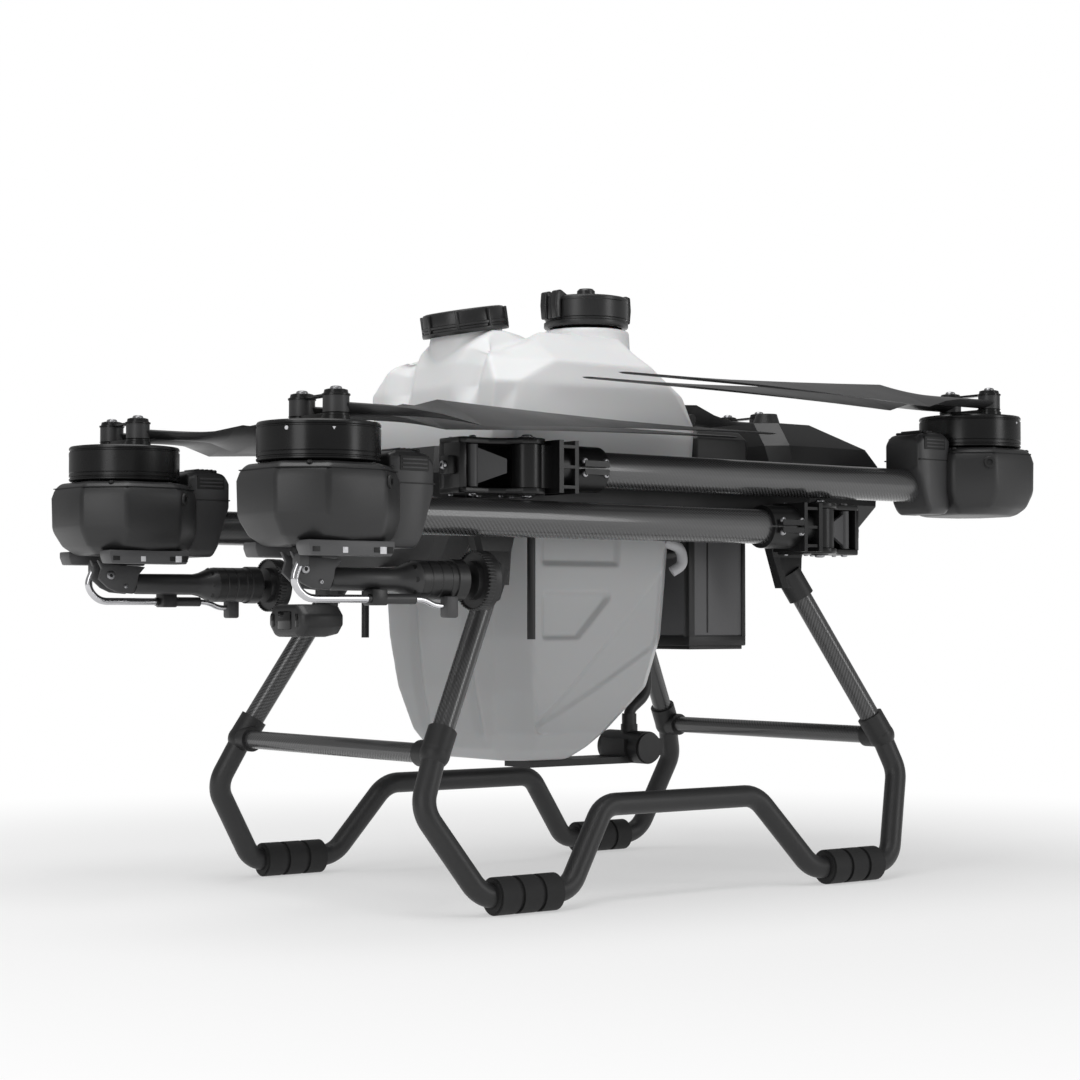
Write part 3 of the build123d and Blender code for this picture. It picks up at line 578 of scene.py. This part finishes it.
lid_at = Vector((0, 0.037, 0.790))
lid_drum = lathe([(0.0, 0.0108), (0.0523, 0.0108), (0.0523, 0.0), (0.0600, 0.0), (0.0610, 0.0015),
                  (0.0610, 0.0075), (0.0585, 0.0090), (0.0585, 0.0115), (0.0600, 0.0125), (0.0600, 0.0365),
                  (0.0610, 0.0375), (0.0610, 0.0410), (0.0590, 0.0430), (0.0540, 0.0440), (0.0510, 0.0420),
                  (0.0, 0.0420)], lid_at, steps=80)
lid_parts = [lid_drum, lathe([(0, 0.040), (0.014, 0.040), (0.013, 0.055), (0.010, 0.058), (0, 0.058)],
                             lid_at, steps=28)]
for sign in (-1, 1):
    across = [(0.046, 0.043), (0.060, 0.051), (0.0685, 0.049), (0.0700, 0.030), (0.0680, 0.010),
              (0.0600, 0.010), (0.0600, 0.036), (0.050, 0.040)]
    for low, high in ((-0.019, -0.006), (0.006, 0.019)):
        lug = [[(x, 0.037 + sign * y, 0.790 + z) for y, z in across] for x in (low, high)]
        lid_parts.append(loft(lug, 0, 0.0022))
    lid_parts.append(brick(-0.006, 0.006, 0.037 + min(sign * 0.052, sign * 0.067),
                           0.037 + max(sign * 0.052, sign * 0.067), 0.800, 0.832, 0, 0.003))
lid_parts.append(brick(-0.005, 0.005, -0.013, 0.087, 0.831, 0.836, 0, 0.0015))
piece("main_lid_cover", lid_parts, [cap_black], "tank_lid", ["tank_lid"])


# Motor pods: a two-part nylon clam shell on the end of each tube, with broad facets, a parting
# seam, a wire port at the inner shoulder and, under the rear-hinged pair, a lamp bar.
CORNERS = [(end, side) for end in ("front", "rear") for side in ("left", "right")]


def corner_place(end, side):
    """From arm axes (out, along the tube from the motor, up from its axis) to this corner."""
    tube_low, tube_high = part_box(f"arm_tube_{end}_{side}")
    rotor_low, rotor_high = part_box(f"rotor_{end}_{side}")
    across, level = (tube_low.x + tube_high.x) / 2, (tube_low.z + tube_high.z) / 2
    sx, sy = (1 if side == "left" else -1), (1 if end == "rear" else -1)
    return Matrix(((sx, 0, 0, across), (0, sy, 0, (rotor_low.y + rotor_high.y) / 2), (0, 0, 1, level),
                   (0, 0, 0, 1)))


def at_corners(name, meshes, materials, body, nodes, ends=("front", "rear")):
    for end, side in CORNERS:
        if end in ends:
            key = f"{end}_{side}"
            piece(f"{name}_{key}", meshes, materials, body.format(key), [n.format(key) for n in nodes],
                  corner_place(end, side))


def pod_ring(level, corners):
    """One level of the pod from the corners of its outer half, in millimetres."""
    ring = list(corners) + [(-v, t) for v, t in reversed(corners)]
    return [(v / 1000, t / 1000, level / 1000) for v, t in ring]


def slab(outline, low, high, material=0, bevel=0.001, axis="x", segments=2):
    """A flat outline in millimetres pushed along an axis, with rounded edges."""
    order = {"x": lambda a, b, c: (c, a, b), "y": lambda a, b, c: (a, c, b), "z": lambda a, b, c: (a, b, c)}
    return loft([[tuple(value / 1000 for value in order[axis](a, b, c)) for a, b in outline]
                 for c in (low, high)], material, bevel, segments)


def pod_shell():
    return [loft([pod_ring(level, corners) for level, corners in (
        (-42, [(30, -58), (58, -34), (64, 0), (60, 36), (40, 68)]),
        (-30, [(40, -74), (75, -40), (83, 0), (78, 42), (46, 80)]),
        (-8, [(45, -87), (88, -40), (88, 0), (88, 40), (46, 88)]),
        (36, [(46, -88), (88, -41), (88, 0), (88, 41), (46, 88)]),
        (50, [(43, -84), (84, -39), (84, 0), (84, 39), (43, 84)]),
        (57, [(38, -76), (76, -34), (76, 0), (76, 34), (38, 76)]))], 0, 0.006, 3),
        # Painted shade: this flush near-black band stands in for the shade in the parting gap.
        loft([pod_ring(level, [(44.5, -84.5), (84.6, -39.5), (84.6, 0), (84.6, 39.5), (44.5, 84.5)])
              for level in (48.4, 49.6)], 1)]


def wire_port(side):
    return lathe([(0.0045, 0), (0.0085, 0), (0.0085, 0.0022), (0.0075, 0.003), (0.0045, 0.003)],
                 (side * 0.0815, 0.0480, 0.034), (side * 0.746, 0.666, 0), 32, 1)


def screw_at(spot, axis, radius, height, material=1):
    """A button-head screw with a hexagon socket."""
    return lathe([(0.0, 0.0), (radius, 0.0), (radius, height * 0.35), (radius * 0.85, height * 0.8),
                  (radius * 0.55, height), (radius * 0.42, height), (radius * 0.40, height * 0.4),
                  (0.0, height * 0.4)], spot, axis, 18, material)


pod_grey = grained("dark nylon shell", 0.011, 0.024, 0.40, 1100.0, 0.16)
# Near-black finish: real black on the screws, wire ports and bolts, and painted shade on the seam bands,
# vent discs and the backing seen between ribs.
black_parts_and_gap_shade = grained("black parts and painted gap shade", 0.003, 0.006, 0.55, 900.0, 0.1)
lamp_grey = grained("lamp bar grey", 0.06, 0.09, 0.42, 1200.0, 0.15)
lamp_white = grained("lamp lens", 0.55, 0.75, 0.18, 500.0, 0.03)
pod_parts = pod_shell() + [wire_port(1), wire_port(-1)]
for v, t in ((64, -52), (74, 30), (40, 78)):
    for side in (-1, 1):
        pod_parts.append(screw_at((side * v / 1000, t / 1000, 0.0535), (0, 0, 1), 0.004, 0.0035))
at_corners("pod_shell", pod_parts, [pod_grey, black_parts_and_gap_shade], "arm_{}", ["motor_pod_{}"],
           ("front",))
lamp_bar = []
for side in (-1, 1):
    edge = side * 76
    lamp_bar.append(slab([(-56, -54), (56, -54), (60, -44), (60, -36), (-60, -36), (-60, -44)],
                         min(side * 46, edge), max(side * 46, edge), 2, 0.0018))
    for t, half, low, high, finish in ((-50, 5, -50, -44, 1), (-10, 3.5, -51, -44, 3), (34, 4, -50, -44, 1),
                                       (43, 4.5, -51.5, -43, 3), (53, 4, -51, -43, 1)):
        lamp_bar.append(slab([(t - half, low), (t + half, low), (t + half, high), (t - half, high)],
                             edge - 0.7, edge + 0.7, finish, 0.0003))
hinge_lug = slab([(-35, -42), (-35, -54), (-27, -69), (-17, -74), (-6, -70), (2, -54), (2, -42)],
                 -7.5, 7.5, 0, 0.002)
bolt_along, bolt_up = -0.027, -0.069
hinge_bolt = [lathe([(0, -0.0155), (0.004, -0.0155), (0.004, 0.0155), (0, 0.0155)], (0, bolt_along, bolt_up),
                    (1, 0, 0), 20, 1)]
at_corners("pod_shell", pod_parts + lamp_bar + [hinge_lug] + hinge_bolt,
           [pod_grey, black_parts_and_gap_shade, lamp_grey, lamp_white], "arm_{}", ["motor_pod_{}"],
           ("rear",))


# Motor bells: turned aluminium, anodised satin black. The hub on top is two stacked blade posts
# under a link plate, closed with washers and steel button bolts.
bell_black = grained("satin black anodising", 0.005, 0.010, 0.27, 700.0, 0.05, 0.35)
bolt_steel = grained("bolt steel", 0.30, 0.42, 0.30, 500.0, 0.05, 1.0)
mark_white = grained("white paint mark", 0.6, 0.7, 0.5, 500.0, 0.02)
bell = lathe([(0, 0.0585), (0.0700, 0.0585), (0.0735, 0.0592), (0.0750, 0.0605), (0.0750, 0.0625),
              (0.0738, 0.0632), (0.0738, 0.0645), (0.0750, 0.0652), (0.0750, 0.0690), (0.0744, 0.0696),
              (0.0744, 0.0700), (0.0750, 0.0706), (0.0750, 0.0990), (0.0738, 0.0998), (0.0738, 0.1012),
              (0.0750, 0.1020), (0.0750, 0.1045), (0.0735, 0.1065), (0.0700, 0.1070), (0.0690, 0.1055),
              (0.0520, 0.1055), (0.0510, 0.1070), (0.0, 0.1070)], (0, 0, 0), steps=96)
hub, post_out = [bell], 0.0385
for side in (-1, 1):
    hub.append(lathe([(0, 0.106), (0.0175, 0.106), (0.0175, 0.1125), (0.0160, 0.1132), (0.0160, 0.1160),
                      (0.0172, 0.1168), (0.0, 0.1168)], (side * post_out, 0, 0), steps=40))
    hub.append(lathe([(0, 0.1372), (0.0172, 0.1372), (0.0172, 0.1392), (0.0150, 0.1400), (0.0140, 0.1440),
                      (0.0105, 0.1450), (0.0, 0.1450)], (side * post_out, 0, 0), steps=40))
    hub.append(screw_at((side * post_out, 0, 0.1448), (0, 0, 1), 0.0075, 0.0040))
hub.append(slab([(-40, -9), (-14, -13), (14, -13), (40, -9), (40, 9), (14, 13), (-14, 13), (-40, 9)],
                106.5, 116.5, 0, 0.0015, "z"))
hub.append(slab([(-38, -7), (38, -7), (38, 7), (-38, 7)], 137.5, 140.5, 0, 0.001, "z"))
bell_screw = screw_at((0.060, 0, 0.1054), (0, 0, 1), 0.0032, 0.0022)
hub.append(ring_of(bell_screw, 8, (0, 0, 0), (0, 0, 1), "bell_screws", bolt_steel))
for turn, shape in ((radians(-62), "dot"), (radians(-18), "arrow")):
    spot = Vector((cos(turn), sin(turn), 0)) * 0.0749 + Vector((0, 0, 0.0960))
    steps = 16 if shape == "dot" else 3
    hub.append(lathe([(0, -0.0003), (0.0024, -0.0003), (0.0024, 0.0004), (0, 0.0004)], spot,
                     (cos(turn), sin(turn), 0), steps, 2, toward=(0, 0, -1)))
at_corners("motor_bell", hub, [bell_black, bolt_steel, mark_white], "rotor_{}", ["rotor_{}"])


# Speed controllers: a cast box clamped on the tube behind each pod, with a ribbed clip for the
# motor leads on top and a sloping chin below.
controller_grey = grained("controller casing", 0.026, 0.042, 0.40, 1100.0, 0.14)


def controller_ring(t, low, high, half):
    cut = 7
    ring = [(half - cut, low), (half, low + cut), (half, high - cut), (half - cut, high)]
    return [(v / 1000, t / 1000, w / 1000) for v, w in ring + [(-v, w) for v, w in reversed(ring)]]


controller = [loft([controller_ring(*level) for level in (
    (80, -40, 72, 33), (92, -42, 77, 36), (121, -42, 77, 36), (127, -32, 76.5, 36), (139, 6, 74, 35),
    (146, 22, 66, 33))], 0, 0.003, 3)]
# Painted shade: a near-black band round the box stands in for the shade in its parting gap.
controller.append(slab([(88, 36.2), (145.3, 36.2), (145.3, 38.0), (88, 38.0)], -36.4, 36.4, 1, 0.0004))
# Painted shade: near-black blocks behind the grey ribs show between them as the shade in the grooves.
for side in (-1, 1):
    controller.append(slab([(93, 52), (136, 52), (136, 71), (93, 71)], side * 34 - 3, side * 34 + 3, 1,
                           0.0015))
    for w in (55, 60, 65):
        controller.append(slab([(96, w), (133, w), (133, w + 2.4), (96, w + 2.4)], side * 35.6 - 2.4,
                               side * 35.6 + 2.4, 0, 0.0007))
# Painted shade: the near-black clip base shows between the grey ribs as the shade in their grooves.
controller.append(slab([(-24, 97), (24, 97), (24, 131), (-24, 131)], 74, 79, 1, 0.0015, "z"))
for t in (103, 110, 117, 124):
    controller.append(slab([(-20, t), (20, t), (20, t + 3), (-20, t + 3)], 77, 81, 0, 0.0008, "z"))
for v in (-27, 27):
    controller.append(screw_at((v / 1000, 0.125, 0.0765), (0, 0, 1), 0.0036, 0.003))
at_corners("controller_case", controller, [controller_grey, black_parts_and_gap_shade], "arm_{}", ["speed_controller_{}"])


# Spray nozzles: each hangs under the pod of a rear-hinged arm, from a bolt through two grey cheeks.
# A stem carries the motor housing, vented at its flare, and a toothed spinning disc on its end.
def bent(points, radius, material=0, bend=0.012, sides=20):
    """A round bar along a path whose corners are turned into smooth bends."""
    path = [Vector(p) for p in points]
    line = [path[0]]
    for before, corner, after in zip(path, path[1:], path[2:]):
        back, ahead = (before - corner), (after - corner)
        reach = min(bend, back.length * 0.48, ahead.length * 0.48)
        start, stop = corner + back.normalized() * reach, corner + ahead.normalized() * reach
        line += [start * (1 - t) ** 2 + corner * 2 * t * (1 - t) + stop * t ** 2
                 for t in (0, 0.15, 0.3, 0.45, 0.6, 0.75, 0.9, 1)]
    line.append(path[-1])
    rings, side = [], None
    for k, here in enumerate(line):
        ahead = (line[min(k + 1, len(line) - 1)] - line[max(k - 1, 0)]).normalized()
        side = ahead.orthogonal() if side is None else side - ahead * side.dot(ahead)
        side.normalize()
        across = ahead.cross(side)
        rings.append([here + (side * cos(2 * pi * j / sides) + across * sin(2 * pi * j / sides)) * radius
                      for j in range(sides)])
    return loft(rings, material)


nozzle_black = grained("nozzle black", 0.007, 0.016, 0.34, 1200.0, 0.12)
cheek_grey = grained("cheek grey", 0.045, 0.065, 0.46, 1100.0, 0.15)
stem_grey = grained("stem grey", 0.022, 0.036, 0.36, 1200.0, 0.12)
nozzle_axis = -0.080
cheek = [(-46, -48), (-40, -60), (-44, -74), (-30, -86), (-16, -92), (8, -94), (14, -80), (16, -68),
         (26, -57), (18, -56), (-10, -55), (-36, -53)]
nozzle_parts = []
for side in (-1, 1):
    nozzle_parts.append(slab(cheek, min(side * 8.2, side * 13.6), max(side * 8.2, side * 13.6), 2, 0.0012))
    nozzle_parts.append(screw_at((side * 0.0135, bolt_along, bolt_up), (side, 0, 0), 0.0062, 0.0030))
    nozzle_parts.append(screw_at((side * 0.0133, -0.004, -0.084), (side, 0, 0), 0.0030, 0.0018))
nozzle_parts.append(lathe([(0, 0.014), (0.0125, 0.014), (0.0140, 0.018), (0.0145, 0.090), (0.0145, 0.106),
                           (0.0165, 0.116), (0.0215, 0.128), (0.0240, 0.136), (0.0240, 0.140), (0, 0.140)],
                          (0, 0, nozzle_axis), (0, 1, 0), 48, 4))
nozzle_parts.append(lathe([(0.0065, 0.139), (0.0243, 0.139), (0.0243, 0.150), (0.0236, 0.1506),
                           (0.0236, 0.1520), (0.0243, 0.1526), (0.0243, 0.1650), (0.0236, 0.1656),
                           (0.0236, 0.1670), (0.0243, 0.1676), (0.0243, 0.1800), (0.0236, 0.1806),
                           (0.0236, 0.1816), (0.0243, 0.1822), (0.0243, 0.1900), (0.0262, 0.1910),
                           (0.0262, 0.2070), (0.0250, 0.2080), (0.0065, 0.2080)],
                          (0, 0, nozzle_axis), (0, 1, 0), 64, 0))
# Painted shade: each vent is a flat near-black disc standing in for the shade inside the opening.
vent = lathe([(0, -0.001), (0.0030, -0.001), (0.0034, 0.0008), (0, 0.0008)], (0.0212, 0, 0.129),
             (1, 0, -0.75), 18, 3)
nozzle_parts.append(ring_of(vent, 8, (0, 0, nozzle_axis), (0, 1, 0), "nozzle_vents",
                            black_parts_and_gap_shade))
nozzle_parts += [slab([(-42, -66), (-28, -66), (-28, -50), (-42, -50)], 8, 26, 2, 0.0025),
                 slab([(62, -112), (84, -112), (84, -92), (62, -92)], 2, 25, 0, 0.002),
                 slab([(170, -127), (188, -127), (188, -100), (170, -100)], 10, 27, 2, 0.003)]
pipe_parts = [bent([(0.018, -0.036, -0.059), (0.018, -0.047, -0.084), (0.018, -0.029, -0.104),
                    (0.018, 0.064, -0.104)], 0.0050, 0, 0.020),
              bent([(0.018, 0.126, -0.104), (0.018, 0.142, -0.105), (0.018, 0.158, -0.1125),
                    (0.018, 0.178, -0.1125)], 0.0038, 0, 0.010),
              bent([(0.018, 0.070, -0.104), (0.018, 0.127, -0.104)], 0.0066, 1),
              bent([(0.018, 0.058, -0.104), (0.018, 0.072, -0.104)], 0.0058, 2)]
stainless = grained("polished stainless", 0.55, 0.66, 0.13, 400.0, 0.03, 1.0)
teeth = slab([(35.4, -2.0), (37.8, -1.2), (37.8, 1.2), (35.4, 2.0)], 226, 238, 0, 0.0006, "z")
disc_parts = [lathe([(0, 0.193), (0.0062, 0.193), (0.0062, 0.2210), (0.0240, 0.2210), (0.0250, 0.2290),
                     (0.0370, 0.2290), (0.0375, 0.2300), (0.0375, 0.2460), (0.0365, 0.2470),
                     (0.0320, 0.2470),
                     (0.0310, 0.2455), (0.0310, 0.2360), (0.0080, 0.2350), (0.0070, 0.2430), (0, 0.2430)],
                    (0, 0, nozzle_axis), (0, 1, 0), 72, 0),
              ring_of(teeth, 48, (0, 0, nozzle_axis), (0, 1, 0), "disc_teeth", nozzle_black)]
for side in ("left", "right"):
    place = corner_place("rear", side)
    piece(f"nozzle_{side}_body", nozzle_parts,
          [nozzle_black, bolt_steel, cheek_grey, black_parts_and_gap_shade, stem_grey], f"nozzle_{side}",
          [f"nozzle_{side}"], place)
    piece(f"nozzle_pipe_{side}_run", pipe_parts, [stainless, stem_grey, nozzle_black], f"nozzle_{side}",
          [f"nozzle_pipe_{side}"], place)
    piece(f"spray_disc_{side}_cup", disc_parts, [nozzle_black], f"disc_{side}", [f"spray_disc_{side}"],
          place)


# Fold hinges: each arm turns in a cast C-shaped fork on the side rail. Button bolts hold the pin
# plates, and an eye bolt in the end wall draws the lock lever tight.
hinge_black = grained("black anodised casting", 0.007, 0.015, 0.32, 1000.0, 0.14, 0.3)
fork_line = [(-62, 809), (0, 809), (9, 811), (17, 816), (22, 824), (24, 833), (22, 842), (16, 851),
             (-4, 863), (-14, 883), (-12, 921), (-18, 927), (-62, 927)]
pin_along, plate_face = 0.833, 0.0360
fork_parts = []
for low, high in ((-36, -28), (28, 36)):
    fork_parts.append(slab(fork_line, low, high, 0, 0.0018, "z"))
fork_parts += [slab([(-62, 809), (-50, 809), (-50, 927), (-62, 927)], -29, 29, 0, 0.001, "z"),
               slab([(-52, 918), (-14, 918), (-16, 927), (-52, 927)], -29, 29, 0, 0.001, "z"),
               slab([(-46, 926), (-24, 926), (-26, 938), (-44, 938)], -12, 12, 0, 0.002, "z")]
for w in (-1, 1):
    out = (0, 0, w)
    fork_parts += [lathe([(0, 0), (0.0125, 0), (0.0125, 0.0012), (0.0110, 0.0020), (0, 0.0020)],
                         (0, pin_along, w * plate_face), out, 40, 0),
                   screw_at((0, pin_along, w * 0.0378), out, 0.0075, 0.0035),
                   screw_at((-0.022, 0.903, w * plate_face), out, 0.0050, 0.0028)]
    for v, t in ((-54, 818), (-54, 870), (-40, 845), (-54, 914)):
        fork_parts.append(screw_at((v / 1000, t / 1000, w * 0.0358), out, 0.0034, 0.0022))
fork_parts.append(screw_at((-0.035, 0.9375, 0), (0, 1, 0), 0.0060, 0.0050))
at_corners("hinge_fork", fork_parts, [hinge_black, bolt_steel], "airframe", ["hinge_forks", "hinge_pins"])
collar_bolts = []
for t in (730, 765):
    for w in (-1, 1):
        collar_bolts.append(screw_at((0.033, t / 1000, w * 0.0085), (1, 0, 0), 0.0045, 0.0040, 0))
at_corners("collar_bolts", collar_bolts, [bolt_steel], "arm_{}", [])


# Battery: an extruded case with a light shell, dark corner strips and a black foot plate.
battery_shell = grained("battery shell", 0.085, 0.12, 0.42, 900.0, 0.12)
battery_black = grained("battery end caps", 0.008, 0.016, 0.42, 1100.0, 0.16)
case = [brick(-0.1050, 0.1050, 0.1420, 0.2500, 0.345, 0.5600, 0, 0.003)]
for x in (-0.1050, 0.1050):
    case.append(brick(x - 0.0012, x + 0.0012, 0.1760, 0.1782, 0.350, 0.5000, 1, 0.0005))
    case.append(brick(x - 0.0012, x + 0.0012, 0.1415, 0.1520, 0.344, 0.5590, 1, 0.0005))
    case.append(brick(x - 0.0012, x + 0.0012, 0.2430, 0.2505, 0.344, 0.5590, 1, 0.0005))
for y in (0.1420, 0.2500):
    case.append(brick(-0.1055, -0.0950, y - 0.0010, y + 0.0010, 0.344, 0.5590, 1, 0.0005))
    case.append(brick(0.0950, 0.1055, y - 0.0010, y + 0.0010, 0.344, 0.5590, 1, 0.0005))
case += [brick(-0.1062, 0.1062, 0.1408, 0.2512, 0.3310, 0.3460, 1, 0.002),
         brick(-0.1020, 0.1020, 0.1450, 0.2470, 0.3260, 0.3320, 1, 0.001),
         loft([[(x / 1000, y / 1000, z / 1000) for x, y in
                [(half - 8, near), (half, near + 8), (half, far - 8), (half - 8, far), (8 - half, far),
                 (-half, far - 8), (-half, near + 8), (8 - half, near)]]
               for z, half, near, far in ((560.6, 117, 141, 251), (630, 117, 141, 251),
                                          (642, 108, 148, 244))],
              1, 0.002)]
piece("battery_case", case, [battery_shell, battery_black], "battery", ["battery"])
dress("battery_handle", battery_black)


# Hoses: a stiff black suction hose from the tank's back to the pump and a pale vent elbow beside it.
pale_hose = grained("pale hose", 0.40, 0.50, 0.40, 600.0, 0.06)
dark_hose = grained("black hose", 0.008, 0.016, 0.45, 600.0, 0.12)
hoses = [bent([(0.062, 0.0700, 0.322), (0.062, 0.098, 0.322), (0.062, 0.098, 0.262), (0.062, 0.066, 0.240),
               (0.062, 0.066, 0.2195)], 0.0080, 1, 0.016),
         bent([(0.118, 0.080, 0.462), (0.118, 0.101, 0.462), (0.118, 0.101, 0.548)], 0.0090, 1, 0.012),
         bent([(0.146, 0.060, 0.478), (0.150, 0.088, 0.470), (0.150, 0.092, 0.446), (0.142, 0.078, 0.436)],
              0.0075, 0, 0.012),
         bent([(0.062, 0.066, 0.235), (0.062, 0.066, 0.219)], 0.0105, 1)]
piece("tank_hose_set", hoses, [pale_hose, dark_hose], "tank", ["tank_hoses"])


# Camera pod: a rounded housing on a short arm under the nose, with a dark window between two slots.
def camera_ring(y, half, low, high, cut=14):
    ring = [(half - cut, low), (half, low + cut), (half, high - cut), (half - cut, high)]
    return [(x / 1000, y / 1000, z / 1000) for x, z in ring + [(-x, z) for x, z in reversed(ring)]]


pod_black = grained("camera housing", 0.010, 0.020, 0.38, 1200.0, 0.14)
window_glass = grained("dark window", 0.002, 0.003, 0.08, 300.0, 0.0)
camera_body = [loft([camera_ring(-468, 39, 350, 386, 12), camera_ring(-462, 45, 346, 389),
                     camera_ring(-424, 46, 346, 389), camera_ring(-402, 40, 350, 387, 12)], 0, 0.004, 3),
               brick(-0.016, 0.016, -0.4700, -0.4640, 0.356, 0.380, 1, 0.002),
               brick(-0.0335, -0.0265, -0.4695, -0.4640, 0.359, 0.377, 1, 0.002),
               brick(0.0265, 0.0335, -0.4695, -0.4640, 0.359, 0.377, 1, 0.002),
               brick(-0.014, 0.014, -0.4140, -0.3930, 0.384, 0.436, 0, 0.003),
               brick(-0.014, 0.014, -0.4120, -0.3020, 0.420, 0.438, 0, 0.003)]
piece("camera_housing", camera_body, [pod_black, window_glass], "airframe", ["camera_pod"])


# Landing gear: bent tube skids in a fine dark powder coat, moulded sockets where the legs enter, and
# black rubber sleeves round the low corners.
skid_coat = grained("powder coated skid", 0.012, 0.024, 0.42, 1600.0, 0.3)
fitting_black = grained("black moulded fitting", 0.006, 0.015, 0.46, 1400.0, 0.25)
rubber_black = grained("black rubber", 0.006, 0.014, 0.68, 700.0, 0.4)
dress("skid_left", skid_coat)
dress("skid_right", skid_coat)
dress("leg_fittings", fitting_black)
dress("rubber_feet", rubber_black)


# Centre frame: folded rails and cross members, the covers over them, and the small electronics that
# are bolted to them.
frame_coat = grained("dark anodised section", 0.016, 0.030, 0.38, 900.0, 0.12, 0.5)
cover_grey = grained("dark grey cover", 0.012, 0.024, 0.46)
dress("side_rails", frame_coat)
dress("cross_members", frame_coat)
dress("front_cover", cover_grey)
dress("rear_cover", cover_grey)
dress("flight_controller", fitting_black)
dress("antennas", fitting_black)
dress("spray_pump", fitting_black)


# Blades, arm knuckles and lock levers: filled nylon blades, black cast knuckles and a grey lever in
# each hinge.
blade_grey = grained("carbon filled nylon", 0.018, 0.034, 0.40, 1500.0, 0.25)
lever_grey = grained("grey lever", 0.05, 0.08, 0.46)
for side in ("left", "right"):
    for end in ("front", "rear"):
        corner = f"{end}_{side}"
        dress(f"arm_knuckle_{corner}", hinge_black)
        dress(f"blade_outer_{corner}", blade_grey)
        dress(f"blade_inner_{corner}", blade_grey)
        dress(f"fold_latch_{corner}", lever_grey)
